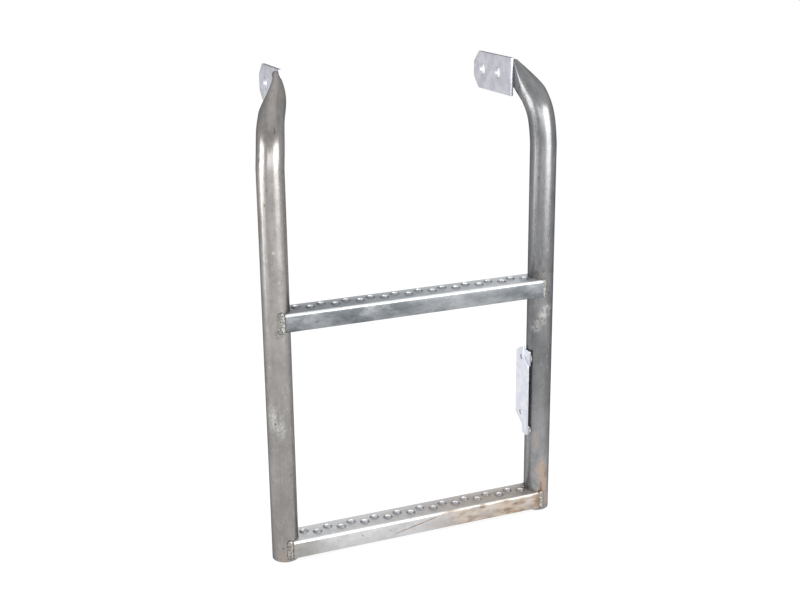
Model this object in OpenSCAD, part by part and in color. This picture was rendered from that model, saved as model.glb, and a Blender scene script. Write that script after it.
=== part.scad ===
// Truck cab step: two round tube stiles, bent back and pressed flat into bolting tabs at the top,
// with two pressed channel treads welded between them and a small bracket on the right stile.
// Origin: middle of the bolt line on the inner face of the right tab.
// +X runs across the step to the right stile, +Y back to the truck, +Z up. Millimetres.

/* [Stiles] */
// Outside diameter of the stile tube
tube_d = 33.7; // [30:0.1:40]
// Wall of the stile tube
tube_wall = 3.2; // [2.5:0.1:3.6]
// Distance between the axes of the two stiles
stile_spacing = 360; // [295:1:450]
// Height of the tabs' centre line above the cut bottom ends of the stiles
tab_height = 585; // [485:1:702]
// Rounding of the outer rim at the cut bottom ends
foot_rounding = 1; // [0.5:0.1:1.5]

/* [Bends] */
// How far behind the stile axis the bend ends
bend_reach = 35; // [33:0.5:60]
// Radius of the tight part of the bend, on the tube's centre line
bend_r = 26; // [25:0.5:31]
// Angle of the gentle lean that leads into the tight part, in degrees
bend_lean = 16; // [12:0.5:30]
// Angle at which the tube stops being round and starts to be pressed
press_angle = 32; // [25:1:45]
// How much thicker the bend still is where it runs out over the tab
shoulder = 1; // [0.5:0.1:2]
// How far the pressed tabs stand in from the inner sides of the stiles
tab_inset = 17.5; // [0:0.5:20]

/* [Tabs] */
// Length of the flat tab behind the bend
tab_length = 95.5; // [80:0.5:130]
// How far the flat of the tab reaches forward into the bend
tab_lap = 5; // [3:0.5:8]
// Size of the 45 degree cuts on the tab's end corners
tab_chamfer = 15.5; // [6:0.5:18]
// Bolt hole diameter
bolt_hole_d = 14; // [9:0.5:16]
// Distance between the two bolt holes
bolt_spacing = 43; // [30:0.5:45]
// Distance from the tab's end to the nearer bolt hole
bolt_end_distance = 25; // [20:1:30]

/* [Treads] */
// Height of the lower tread's top above the bottom ends
lower_tread_height = 28; // [26:1:60]
// Distance from the lower tread's top to the upper tread's top
tread_pitch = 300; // [250:1:360]
// Thickness of the tread sheet
tread_sheet = 2.5; // [2:0.5:4]
// Height of the front and rear flanges, top surface included
tread_flange_h = 23; // [18:0.5:25]
// Outer radius of the folded edges
tread_fold_r = 4; // [4:0.5:6]
// Clearance between the stile tube and the tread that straddles it
tread_fit = 0.2; // [0.1:0.1:0.4]
// How far the flanges stop short of the stile axes
flange_end_gap = 5; // [3:0.5:8]

/* [Raised holes] */
// Distance between neighbouring holes of one row
hole_pitch = 32.4; // [26:0.1:40]
// Least distance from a stile axis to the first hole
hole_margin = 21; // [18:1:40]
// Distance between the two rows
row_spacing = 7.2; // [5:0.2:14]
// Diameter of the hole
tread_hole_d = 6; // [4:0.5:6.5]
// Diameter of the raised collar at its foot
collar_foot_d = 11.5; // [11:0.5:13]
// Diameter of the raised collar at its top
collar_top_d = 8.5; // [8:0.5:10]
// Height of the raised collar above the tread
collar_h = 2.1; // [1:0.1:3]

/* [Bracket] */
// Height of the bracket's lower end above the bottom ends
bracket_height = 111; // [80:1:160]
// Length of the bracket plate
bracket_length = 123; // [110:1:140]
// Width of the bracket plate
bracket_width = 32; // [28:0.5:40]
// How far the plate's front edge lies ahead of the stile axis
bracket_lead = 10; // [8:0.5:12]
// Thickness of the plate and of its two lugs
bracket_sheet = 2.5; // [2:0.5:4]
// How far the top edge falls towards the rear
bracket_fall = 10; // [0:1:14]
// Width of the narrow lower end
bracket_tail_w = 13.5; // [12:0.5:18]
// Height of the narrow lower end, and again of the slope above it
bracket_tail_h = 12; // [8:1:14]
// Width of the upper lug that shows past the plate's front corner
bracket_lug_w = 12.5; // [11:0.5:13]
// Height of the upper lug
bracket_lug_h = 26; // [20:1:32]
// Diameter of the bracket's two holes
bracket_hole_d = 6.5; // [5:0.5:7]
// Height of the lower hole above the bracket's lower end
bracket_hole_height = 27; // [26:1:30]
// Distance between the bracket's two holes
bracket_hole_spacing = 79; // [66:1:84]
// Distance from the bracket's rear edge to its holes
bracket_hole_edge = 14; // [9:0.5:14]

/* [Welds] */
// Radius of the weld beads
bead_r = 4.2; // [3:0.1:5]
// Distance from one ripple of a bead to the next
bead_ripple = 2.4; // [1.8:0.1:3]

/* [Hidden] */
$fn = 64;
tube_r = tube_d / 2;
bore_d = tube_d - 2 * tube_wall;

// A tube pressed shut keeps its wall length: flat sides with a fold at each edge
tab_t = 2 * tube_wall;
tab_h = flattened_height(tab_t);

// Places in the frame of the part
right_x = tube_r + tab_inset;
tab_x = tube_r + tab_inset - tab_t / 2;
left_x = right_x - stile_spacing;
bolt_reach = bend_reach + tab_length - bolt_end_distance - bolt_spacing / 2;
stile_y = -bolt_reach;
foot_z = -tab_height;

// The bend: a wide arc through the lean, then the tight arc up to level
lean_r = (bend_reach - bend_r * cos(bend_lean)) / (1 - cos(bend_lean));
bend_rise = lean_r * sin(bend_lean) + bend_r * (1 - sin(bend_lean));
bend_z = tab_height - bend_rise;

// Loft of the stile
foot_steps = 2;
bend_rings = 20;
ring_points = 48;
last_hollow_ring = 18;

// Treads
tread_depth = tube_d + 2 * tread_fit + 2 * tread_sheet;
tread_length = stile_spacing - 2 * flange_end_gap;
lower_z = foot_z + lower_tread_height;
upper_z = lower_z + tread_pitch;
holes_per_row = floor((stile_spacing - 2 * hole_margin) / hole_pitch + 0.5);
row_length = (holes_per_row - 0.5) * hole_pitch;

// Bracket
lug_weld_h = bracket_tail_h / 2;
lower_lug_z = foot_z + bracket_height + bracket_tail_h / 2;
upper_lug_z = foot_z + bracket_height + bracket_length - bracket_lug_h / 2 - bracket_fall / 4;

cut = 1;

// Height of a tube that is pressed to the thickness w, with its outer girth unchanged
function flattened_height(w) = w + PI * (tube_d - w) / 2;

// Angle of the tube at the share f of the bend: a gentle lean first, then the tight part
function bend_angle(f) = f < 0.5 ? 2 * f * bend_lean : bend_lean + (2 * f - 1) * (90 - bend_lean);

// Thickness across the stile at the angle a: the pressing starts gently and ends in a crease
function pressed_t(a) =
    let (share = max(0, (a - press_angle) / (90 - press_angle)))
    tube_d - (tube_d - tab_t - shoulder) * share * share;

// How far the middle of the tube has moved in at the share f of the bend
function moved_in(f) = (tube_d - pressed_t(bend_angle(f))) / 2 + tab_inset * f * f;

// Centre of the bend at the angle a, as [distance back, height]
function bend_centre(a) =
    let (lean = min(a, bend_lean))
    lean_r * [1 - cos(lean), sin(lean)] + bend_r * [cos(lean) - cos(a), sin(a) - sin(lean)];

// Outline of a pressed tube: w across, h along, with round ends and exactly flat sides
function slot_outline(w, h) =
    [for (i = [0 : ring_points - 1])
        let (a = 360 * (i + 0.5) / ring_points, r = w / 2 / cos(180 / ring_points))
        [r * cos(a), r * sin(a) + sign(sin(a)) * (h - w) / 2]];

// One ring of the bend at the share f, with the wall taken off for the hollow;
// side is 1 where the flat lies on the +X side of the stile
function bend_ring(f, wall, side) =
    let (a = bend_angle(f), c = bend_centre(a), t = pressed_t(a))
    [for (p = slot_outline(t - 2 * wall, flattened_height(t) - 2 * wall))
        [p[0] + side * moved_in(f), c[0] - cos(a) * p[1], c[1] + sin(a) * p[1]]];

// Closed solid through rings that each have ring_points points
module loft(rings) {
    n = ring_points;
    last = len(rings) - 1;
    polyhedron(
        points = [for (ring = rings) each ring],
        faces = concat(
            [[for (i = [n - 1 : -1 : 0]) i]],
            [for (k = [0 : last - 1], i = [0 : n - 1])
                let (j = (i + 1) % n)
                [k * n + j, k * n + n + j, k * n + n + i, k * n + i]],
            [[for (i = [0 : n - 1]) last * n + i]]
        )
    );
}

// Ring of a straight round stretch of tube at the height z, with the radius r
function round_ring(z, r) =
    [for (p = slot_outline(2 * r, 2 * r)) [p[0], -p[1], z]];

// The tube's outside in one skin: rounded foot, straight stretch and bend
module tube_solid(side) {
    loft(concat(
        [for (k = [0 : foot_steps])
            let (a = 90 * k / foot_steps)
            round_ring(foot_rounding * (1 - cos(a)), tube_r - foot_rounding * (1 - sin(a)))],
        [for (k = [0 : bend_rings]) raised(bend_ring(k / bend_rings, 0, side), bend_z)]
    ));
}

// The tube's hollow, open at the foot and closing towards the tab
module tube_hollow(side) {
    loft(concat(
        [round_ring(-cut, bore_d / 2)],
        [for (k = [0 : last_hollow_ring]) raised(bend_ring(k / bend_rings, tube_wall, side), bend_z)]
    ));
}

// A ring moved up by z
function raised(ring, z) = [for (p = ring) p + [0, 0, z]];

// Flat tab with its centre line at zero height and its middle plane at zero across
module tab() {
    difference() {
        translate([0, bend_reach - tab_lap, 0])
            rotate([-90, 0, 0])
                linear_extrude(tab_length + tab_lap)
                    tab_section();
        translate([0, bend_reach + tab_length, 0]) {
            for (s = [-1, 1])
                translate([0, 0, s * tab_h / 2])
                    rotate([45, 0, 0])
                        cube([2 * tab_t, tab_chamfer * sqrt(2), tab_chamfer * sqrt(2)], center = true);
            for (back = [0, bolt_spacing])
                translate([0, -bolt_end_distance - back, 0])
                    rotate([0, 90, 0])
                        cylinder(d = bolt_hole_d, h = 2 * tab_t, center = true);
        }
    }
}

// Section of the tab: flat sides with a round fold at each edge
module tab_section() {
    square([tab_t, tab_h - tab_t], center = true);
    for (s = [-1, 1])
        translate([0, s * (tab_h - tab_t) / 2])
            circle(d = tab_t);
}

// A stile with its foot at the origin and its bend towards +Y
module stile(side) {
    difference() {
        tube_solid(side);
        tube_hollow(side);
    }
    translate([side * tab_x, 0, tab_height])
        tab();
}

// Section of the tread channel, across its depth and up, with the top surface at zero
module tread_section() {
    difference() {
        folded_outline(tread_depth, tread_flange_h, tread_fold_r);
        translate([0, -tread_sheet])
            folded_outline(tread_depth - 2 * tread_sheet, tread_flange_h, tread_fold_r - tread_sheet);
    }
}

// Block under the zero line with its two top corners rounded
module folded_outline(w, h, r) {
    translate([-w / 2, -h])
        square([w, h - r]);
    translate([-w / 2 + r, -h])
        square([w - 2 * r, h]);
    for (s = [-1, 1])
        translate([s * (w / 2 - r), -r])
            circle(r = r);
}

// Raised collar pressed up round one hole, without its bore
module collar() {
    rotate_extrude()
        polygon([
            [0, -tread_sheet / 2],
            [collar_foot_d / 2, -tread_sheet / 2],
            [collar_foot_d / 2, 0],
            [collar_top_d / 2 + collar_h / 5, collar_h * 0.8],
            [collar_top_d / 2 - collar_h / 5, collar_h],
            [0, collar_h]
        ]);
}

// Bore of one raised hole, with the flare that pressing leaves below
module collar_bore() {
    cylinder(d = tread_hole_d, h = 4 * (collar_h + tread_sheet), center = true);
    flare_d = collar_foot_d - 2;
    translate([0, 0, -tread_sheet - cut])
        cylinder(d1 = flare_d + 2 * cut, d2 = flare_d - tread_sheet, h = cut + tread_sheet / 2);
}

// Lays out a tread's raised holes in two staggered rows, the rear row starting on the left
module hole_places() {
    for (row = [0, 1], i = [0 : holes_per_row - 1])
        translate([(i + row / 2) * hole_pitch - row_length / 2, (1 - 2 * row) * row_spacing / 2, 0])
            children();
}

// A tread centred between the stiles, with its top surface at zero
module tread() {
    difference() {
        union() {
            rotate([90, 0, 90])
                linear_extrude(tread_length, center = true)
                    tread_section();
            hole_places()
                collar();
        }
        hole_places()
            collar_bore();
        for (s = [-1, 1])
            translate([s * stile_spacing / 2, 0, -tread_flange_h - cut])
                cylinder(d = tube_d + 2 * tread_fit, h = tread_flange_h + 2 * cut);
    }
}

// Outline of the bracket plate as [distance back, height], from its lower front corner
function bracket_outline() = [
    [0, 0],
    [bracket_tail_w, 0],
    [bracket_tail_w, bracket_tail_h],
    [bracket_width, 2 * bracket_tail_h],
    [bracket_width, bracket_length - bracket_fall],
    [bracket_lug_w, bracket_length],
    [bracket_lug_w, bracket_length - bracket_lug_h + bracket_lug_w],
    [0, bracket_length - bracket_lug_h]
];

// Plate on two lugs against the inner side of the right stile, from its lower end up;
// the lugs lie on the tube and the plate stands off by their thickness
module bracket_plate() {
    translate([0, -bracket_lead, 0]) {
        difference() {
            translate([-bracket_sheet, 0, 0])
                rotate([90, 0, -90])
                    mirror([1, 0, 0])
                        linear_extrude(bracket_sheet)
                            polygon(bracket_outline());
            for (s = [0, 1])
                translate([0, bracket_width - bracket_hole_edge, bracket_hole_height + s * bracket_hole_spacing])
                    rotate([0, 90, 0])
                        cylinder(d = bracket_hole_d, h = 6 * bracket_sheet, center = true);
        }
        translate([-bracket_sheet, 0, 0])
            cube([bracket_sheet, bracket_tail_w, bracket_tail_h]);
        translate([-bracket_sheet, 0, bracket_length - bracket_lug_h])
            cube([bracket_sheet, bracket_lug_w + bracket_sheet / 2, bracket_lug_h - bracket_fall / 2]);
    }
}

// Rippled bead from the point a to the point b
module bead(a, b, r) {
    steps = ceil(norm(b - a) / bead_ripple);
    for (k = [0 : steps])
        translate(a + (b - a) * k / steps)
            sphere(r = r);
}

// Solid stretch of the stile tube about zero height, to cut beads to
module tube_stretch(h) {
    cylinder(d = tube_d, h = h, center = true);
}

// Bead up the end of a flange; end is 1 at the right stile, front is 1 at the front
module flange_weld(end, front) {
    bead_x = -end * flange_end_gap / 2;
    bead_y = -front * (tube_r + tread_sheet / 2);
    difference() {
        bead([bead_x, bead_y, -tread_flange_h + bead_ripple / 2], [bead_x, bead_y, -bead_ripple / 2], bead_r);
        tube_stretch(4 * tread_flange_h);
        translate([-end * (flange_end_gap + tread_length / 2), 0, 0])
            rotate([90, 0, 90])
                linear_extrude(tread_length, center = true)
                    folded_outline(tread_depth, tread_flange_h + bead_r, tread_fold_r);
    }
}

// Short bead on top of the tread round the inner rear side of the right stile
module top_weld() {
    foot = bead_r / 5;
    difference() {
        for (a = [118 : 11 : 162])
            translate([(tube_r + foot) * cos(a), (tube_r + foot) * sin(a), foot])
                sphere(r = bead_r);
        tube_stretch(4 * bead_r);
        translate([0, 0, -2 * bead_r])
            cube([4 * tube_d, 4 * tube_d, 4 * bead_r], center = true);
    }
}

// Upright tack of the height h in the front wedge between the right stile and a bracket lug
module lug_weld(h) {
    tack_r = bead_r * 0.6;
    y = -0.8 * bracket_lead;
    difference() {
        bead([tack_r / 3, y, -h / 2], [tack_r / 3, y, h / 2], tack_r);
        translate([tube_r, 0, 0])
            tube_stretch(4 * h);
        translate([-2 * bracket_sheet, -bracket_lead, -2 * h])
            cube([2 * bracket_sheet, bracket_width, 4 * h]);
    }
}

module left_stile() {
    color("silver")
        translate([left_x, stile_y, foot_z])
            stile(1);
}

module right_stile() {
    color("silver")
        translate([right_x, stile_y, foot_z])
            stile(-1);
}

module upper_tread() {
    color("gainsboro")
        translate([(left_x + right_x) / 2, stile_y, upper_z])
            tread();
}

module lower_tread() {
    color("gainsboro")
        translate([(left_x + right_x) / 2, stile_y, lower_z])
            tread();
}

module side_bracket() {
    color("lavender")
        translate([right_x - tube_r, stile_y, foot_z + bracket_height])
            bracket_plate();
}

module weld_at(x, z) {
    color("dimgray")
        translate([x, stile_y, z])
            children();
}

left_stile();
right_stile();
upper_tread();
lower_tread();
side_bracket();
weld_at(left_x, upper_z) flange_weld(-1, 1);  // upper_left_front_weld
weld_at(left_x, upper_z) flange_weld(-1, -1);  // upper_left_rear_weld
weld_at(right_x, upper_z) flange_weld(1, 1);  // upper_right_front_weld
weld_at(right_x, upper_z) flange_weld(1, -1);  // upper_right_rear_weld
weld_at(left_x, lower_z) flange_weld(-1, 1);  // lower_left_front_weld
weld_at(left_x, lower_z) flange_weld(-1, -1);  // lower_left_rear_weld
weld_at(right_x, lower_z) flange_weld(1, 1);  // lower_right_front_weld
weld_at(right_x, lower_z) flange_weld(1, -1);  // lower_right_rear_weld
weld_at(right_x, lower_z) top_weld();  // lower_right_top_weld
weld_at(right_x - tube_r, upper_lug_z) lug_weld(lug_weld_h);  // bracket_upper_weld
weld_at(right_x - tube_r, lower_lug_z) lug_weld(lug_weld_h);  // bracket_lower_weld
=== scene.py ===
"""Truck cab step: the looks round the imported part.

Two zinc-coated tube stiles whose pressed tops carry drilled tab plates, two channel treads with
raised holes, their weld beads and a small bracket. Everything is in metres in the part's own
frame: origin at the bolt line of the right tab, +X to the right stile, +Y back to the truck,
+Z up. Sizes in the dataclasses are in millimetres.
"""
import logging
import math
from dataclasses import dataclass, field
from enum import Enum
from typing import Sequence

import bmesh
import bpy
import numpy as np
from mathutils import Matrix, Vector
from mathutils.geometry import delaunay_2d_cdt


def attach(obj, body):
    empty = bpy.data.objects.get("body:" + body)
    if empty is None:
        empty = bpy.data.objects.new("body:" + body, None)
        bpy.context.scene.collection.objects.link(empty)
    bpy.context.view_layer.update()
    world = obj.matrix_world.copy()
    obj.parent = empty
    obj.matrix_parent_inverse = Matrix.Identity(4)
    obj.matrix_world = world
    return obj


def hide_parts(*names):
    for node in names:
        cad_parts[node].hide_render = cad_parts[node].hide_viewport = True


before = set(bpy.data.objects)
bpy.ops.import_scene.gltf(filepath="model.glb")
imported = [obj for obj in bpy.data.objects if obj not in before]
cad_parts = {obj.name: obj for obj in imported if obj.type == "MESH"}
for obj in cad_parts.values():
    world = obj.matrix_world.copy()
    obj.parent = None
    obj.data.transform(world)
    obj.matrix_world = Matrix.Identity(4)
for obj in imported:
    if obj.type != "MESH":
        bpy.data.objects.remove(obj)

LOG = logging.getLogger("cab_step")
MM = 0.001
PICTURE_W = 800
SENSOR_MM = 36.0
MERGE_M = 2e-6
Colour = tuple[float, float, float]
Faces = np.ndarray | list
# Numbers of the Mix node's colour sockets
MIX_LOW, MIX_HIGH, MIX_RESULT = 6, 7, 2
# A mark's oval is filled past 1, so that the noise leaves its middle whole
MARK_FULL = 2.1
# One over the largest value of f^5 (1 - f), for the bulge of the left bend
BULGE_SCALE = 14.93
# What stands for the radius round a raised hole wherever there is no hole, in millimetres
NO_HOLE = 20.0


class Side(Enum):
    """Which stile; its value is the sign of X from the middle of the step to it."""

    LEFT = -1
    RIGHT = 1

    @property
    def word(self) -> str:
        """The side as it stands in the names of pieces."""
        return self.name.lower()


class Level(Enum):
    """Which tread."""

    UPPER = "upper"
    LOWER = "lower"


@dataclass(frozen=True)
class Layout:
    """The part's main sizes and places, in millimetres."""

    tube_d: float = 33.7
    tube_wall: float = 3.2
    right_x: float = 34.35
    left_x: float = -325.65
    stile_y: float = -84.0
    foot_z: float = -585.0
    lower_z: float = -557.0
    upper_z: float = -257.0
    tread_sheet: float = 2.5
    flange_h: float = 23.0
    left_tab_front: float = 50.0
    right_tab_front: float = 26.0
    tab_top: float = 22.8
    tab_sheet: float = 4.0

    @property
    def half_spacing(self) -> float:
        """Half the distance between the stiles' axes."""
        return (self.right_x - self.left_x) / 2

    @property
    def lug_x(self) -> float:
        """Inner side of the right stile, where the bracket's lugs touch it."""
        return self.right_x - self.tube_d / 2

    def stile_x(self, side: Side) -> float:
        """Place of a stile's axis across the step."""
        return self.right_x if side is Side.RIGHT else self.left_x

    def tab_front(self, side: Side) -> float:
        """How far behind the stile's axis its tab begins."""
        return self.right_tab_front if side is Side.RIGHT else self.left_tab_front

    def tread_z(self, level: Level) -> float:
        """Height of a tread's top surface."""
        return self.upper_z if level is Level.UPPER else self.lower_z


LAYOUT = Layout()


def shade(red: float, green: float, blue: float) -> Colour:
    """Linear colour of a screen colour given in steps from 0 to 255."""
    parts = np.array([red, green, blue]) / 255.0
    linear = np.where(parts <= 0.04045, parts / 12.92, ((parts + 0.055) / 1.055) ** 2.4)
    return tuple(float(v) for v in linear)


# Meshes


@dataclass
class Shell:
    """Gathers the patches of one piece and makes it one closed mesh."""

    points: list[np.ndarray] = field(default_factory=list)
    faces: list[Sequence[int]] = field(default_factory=list)
    smooth: list[bool] = field(default_factory=list)
    wraps: list[np.ndarray] = field(default_factory=list)
    count: int = 0

    def patch(self, points: np.ndarray, faces: Faces, smooth: bool = True,
              wrap: np.ndarray | None = None) -> None:
        """Adds a patch.

        Args:
            points: Corners in millimetres, one row each.
            faces: Rows of corner numbers within the patch.
            smooth: Whether the patch is shaded smooth.
            wrap: The point attribute that the finishes read, in millimetres; the place itself if left out.
        """
        rows = points.reshape(-1, 3)
        self.points.append(rows)
        self.wraps.append(rows if wrap is None else wrap.reshape(-1, 3))
        if isinstance(faces, np.ndarray):
            self.faces.extend((faces + self.count).tolist())
        else:
            self.faces.extend([[i + self.count for i in face] for face in faces])
        self.smooth.extend([smooth] * len(faces))
        self.count += len(rows)

    def grid(self, points: np.ndarray, around: bool = False, smooth: bool = True,
             wrap: np.ndarray | None = None) -> None:
        """Adds a surface given as rows and columns of points.

        Args:
            points: Array of rows, columns and three places.
            around: Whether the last column joins the first.
            smooth: Whether it is shaded smooth.
            wrap: As for patch.
        """
        rows, cols = points.shape[:2]
        number = np.arange(rows * cols).reshape(rows, cols)
        nxt = np.roll(number, -1, axis=1) if around else number[:, 1:]
        here = number if around else number[:, :-1]
        quads = np.stack([here[:-1], nxt[:-1], nxt[1:], here[1:]], axis=-1).reshape(-1, 4)
        self.patch(points, quads, smooth, wrap)

    def lid(self, loop: np.ndarray, wrap: np.ndarray | None = None) -> None:
        """Closes a loop of points with one flat face."""
        self.patch(loop, [list(range(len(loop)))], False, wrap)

    def object(self, name: str, material: bpy.types.Material, nodes: Sequence[str] = ()) -> None:
        """Makes the object, riding on the part's one body.

        Args:
            name: The piece's name.
            material: Its finish.
            nodes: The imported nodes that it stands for.
        """
        mesh = bpy.data.meshes.new(name)
        mesh.from_pydata(np.concatenate(self.points) * MM, [], self.faces)
        mesh.polygons.foreach_set("use_smooth", self.smooth)
        layer = mesh.attributes.new("wrap", "FLOAT_VECTOR", "POINT")
        layer.data.foreach_set("vector", (np.concatenate(self.wraps) * MM).astype(np.float32).ravel())
        work = bmesh.new()
        work.from_mesh(mesh)
        bmesh.ops.remove_doubles(work, verts=work.verts, dist=MERGE_M)
        bmesh.ops.dissolve_degenerate(work, edges=work.edges, dist=MERGE_M / 4)
        bmesh.ops.recalc_face_normals(work, faces=work.faces)
        loose = sum(1 for edge in work.edges if len(edge.link_faces) != 2)
        work.to_mesh(mesh)
        work.free()
        mesh.materials.append(material)
        piece = bpy.data.objects.new(name, mesh)
        bpy.context.scene.collection.objects.link(piece)
        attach(piece, "root")
        if nodes:
            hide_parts(*nodes)
        LOG.info("%s: %d faces, %d open edges", name, len(mesh.polygons), loose)
def circle(count: int, radius: float, centre: Sequence[float] = (0.0, 0.0)) -> np.ndarray:
    """Points on a circle: the centre plus the radius times the cosine and sine of the angle."""
    a = np.arange(count) * 2 * np.pi / count
    return np.stack([centre[0] + radius * np.cos(a), centre[1] + radius * np.sin(a)], axis=1)


def laid(flat: np.ndarray, height: float) -> np.ndarray:
    """Points of a level plane, set at a height."""
    return np.column_stack([flat, np.full(len(flat), height)])


def stood(flat: np.ndarray, across: float) -> np.ndarray:
    """Points given as distance back and height, set at a place across the step."""
    return np.column_stack([np.full(len(flat), across), flat])


def rounded(outline: np.ndarray, radius: float, steps: int = 5) -> np.ndarray:
    """Outline with its corners rounded.

    Each corner becomes a curve of the second order from a point one radius before it to a point
    one radius after it, pulled towards the corner.

    Args:
        outline: Corners in order, one row each.
        radius: How far from the corner the curve begins.
        steps: Points on each curve.

    Returns:
        The rounded outline.
    """
    before = np.roll(outline, 1, axis=0) - outline
    after = np.roll(outline, -1, axis=0) - outline
    a = outline + radius * before / np.linalg.norm(before, axis=1, keepdims=True)
    c = outline + radius * after / np.linalg.norm(after, axis=1, keepdims=True)
    t = np.linspace(0.0, 1.0, steps)[None, :, None]
    curve = (1 - t) ** 2 * a[:, None] + 2 * t * (1 - t) * outline[:, None] + t * t * c[:, None]
    return curve.reshape(-1, 2)


def drawn_in(outline: np.ndarray, inset: float) -> np.ndarray:
    """Outline that runs anticlockwise, moved inwards along the bisector of each corner."""
    along = np.roll(outline, -1, axis=0) - outline
    along = along / np.linalg.norm(along, axis=1, keepdims=True)
    inward = np.stack([-along[:, 1], along[:, 0]], axis=1)
    last = np.roll(inward, 1, axis=0)
    return outline + inset * (inward + last) / (1 + np.sum(inward * last, axis=1, keepdims=True))


def filled(outline: np.ndarray, holes: Sequence[np.ndarray]) -> tuple[np.ndarray, np.ndarray]:
    """Triangles between an outline and its round holes.

    Args:
        outline: The outer loop.
        holes: Loops of points on circles.

    Returns:
        The points in the plane, and the triangles.
    """
    loops = [outline, *holes]
    starts = np.cumsum([0] + [len(loop) for loop in loops])
    edges = [(s + i, s + (i + 1) % len(loop)) for s, loop in zip(starts, loops) for i in range(len(loop))]
    corners = [Vector(p) for p in np.concatenate(loops).tolist()]
    inside_only, tolerance, within = 1, 1e-6, 0.999
    flat, _, triangles, *_ = delaunay_2d_cdt(corners, edges, [], inside_only, tolerance)
    places, triangles = np.array([tuple(p) for p in flat]), np.array(triangles)
    middle = places[triangles].mean(axis=1)
    keep = np.ones(len(triangles), bool)
    for hole in holes:
        centre = hole.mean(axis=0)
        keep &= np.linalg.norm(middle - centre, axis=1) > np.linalg.norm(hole[0] - centre) * within
    return places, triangles[keep]


def ridge(v: np.ndarray, u: np.ndarray, seed: int, waves: int = 9) -> np.ndarray:
    """Smooth uneven field about zero.

    It is a sum of sines of m v + n u + c, with m from 1 to 4, n from 3 to 26 and c in a full turn,
    all drawn from the seed. The k-th has the weight 1 / sqrt(k).
    """
    rng = np.random.default_rng(seed)
    total = np.zeros(np.broadcast(v, u).shape)
    for k in range(waves):
        around, along = rng.integers(1, 5), rng.uniform(3.0, 26.0)
        total = total + np.sin(around * v + along * u + rng.uniform(0, 2 * np.pi)) / math.sqrt(k + 1.0)
    return total / math.sqrt(waves)


# Shader sums


class Sum:
    """One shader socket, so that sums on values are written as plain Python."""

    def __init__(self, tree: "Nodes", socket: bpy.types.NodeSocket) -> None:
        """Wraps a socket of the given node tree."""
        self.tree = tree
        self.socket = socket

    def _math(self, operation: str, *values: object, clamp: bool = False) -> "Sum":
        """Adds one Math node.

        Args:
            operation: The Math node's operation.
            values: Its inputs in order, each a Sum or a number.
            clamp: Whether the result is held between 0 and 1.

        Returns:
            The node's result.
        """
        return self.tree.add("Math", dict(enumerate(values)), operation=operation, use_clamp=clamp)

    def __add__(self, other: object) -> "Sum":
        """Sum of two values."""
        return self._math("ADD", self, other)

    __radd__ = __add__

    def __mul__(self, other: object) -> "Sum":
        """Product of two values."""
        return self._math("MULTIPLY", self, other)

    __rmul__ = __mul__

    def __sub__(self, other: object) -> "Sum":
        """This value less the other."""
        return self._math("SUBTRACT", self, other)

    def __rsub__(self, other: object) -> "Sum":
        """The other value less this one."""
        return self._math("SUBTRACT", other, self)

    def held(self) -> "Sum":
        """The value held between 0 and 1."""
        return self._math("ADD", self, 0.0, clamp=True)

    def larger(self, other: object) -> "Sum":
        """The larger of two values."""
        return self._math("MAXIMUM", self, other)

    def step(self, low: float, high: float) -> "Sum":
        """Smooth step: 0 at low, 1 at high, level at both ends; low may lie above high."""
        values = {"Value": self, "From Min": min(low, high), "From Max": max(low, high),
                  "To Min": 0.0 if low < high else 1.0, "To Max": 1.0 if low < high else 0.0}
        return self.tree.add("MapRange", values, interpolation_type="SMOOTHSTEP")

    def step_mm(self, low: float, high: float) -> "Sum":
        """Smooth step between two places in millimetres."""
        return self.step(low * MM, high * MM)


class Nodes:
    """A node tree with one method that adds any node."""

    def __init__(self, tree: bpy.types.NodeTree) -> None:
        """Starts with an empty tree."""
        self.tree = tree
        tree.nodes.clear()

    def add(self, kind: str, values: dict | None = None, out: int | str = 0, **settings: object) -> Sum:
        """Adds a node.

        Args:
            kind: The node's type, without the words ShaderNode before it.
            values: Socket name or number to a Sum, a number or a tuple.
            out: Which output comes back.
            settings: Properties that are set before the sockets.

        Returns:
            The output, wrapped.
        """
        node = self.tree.nodes.new(f"ShaderNode{kind}")
        for name, value in settings.items():
            setattr(node, name, value)
        for name, value in (values or {}).items():
            socket = self._input(node, name)
            if isinstance(value, Sum):
                self.tree.links.new(value.socket, socket)
            else:
                socket.default_value = value
        return Sum(self, node.outputs[out] if node.outputs else node.inputs[0])

    @staticmethod
    def _input(node: bpy.types.Node, name: int | str) -> bpy.types.NodeSocket:
        """The input of that number or name that is in use."""
        if isinstance(name, int):
            return node.inputs[name]
        return next(s for s in node.inputs if s.name == name and s.enabled)


# Finishes


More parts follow.
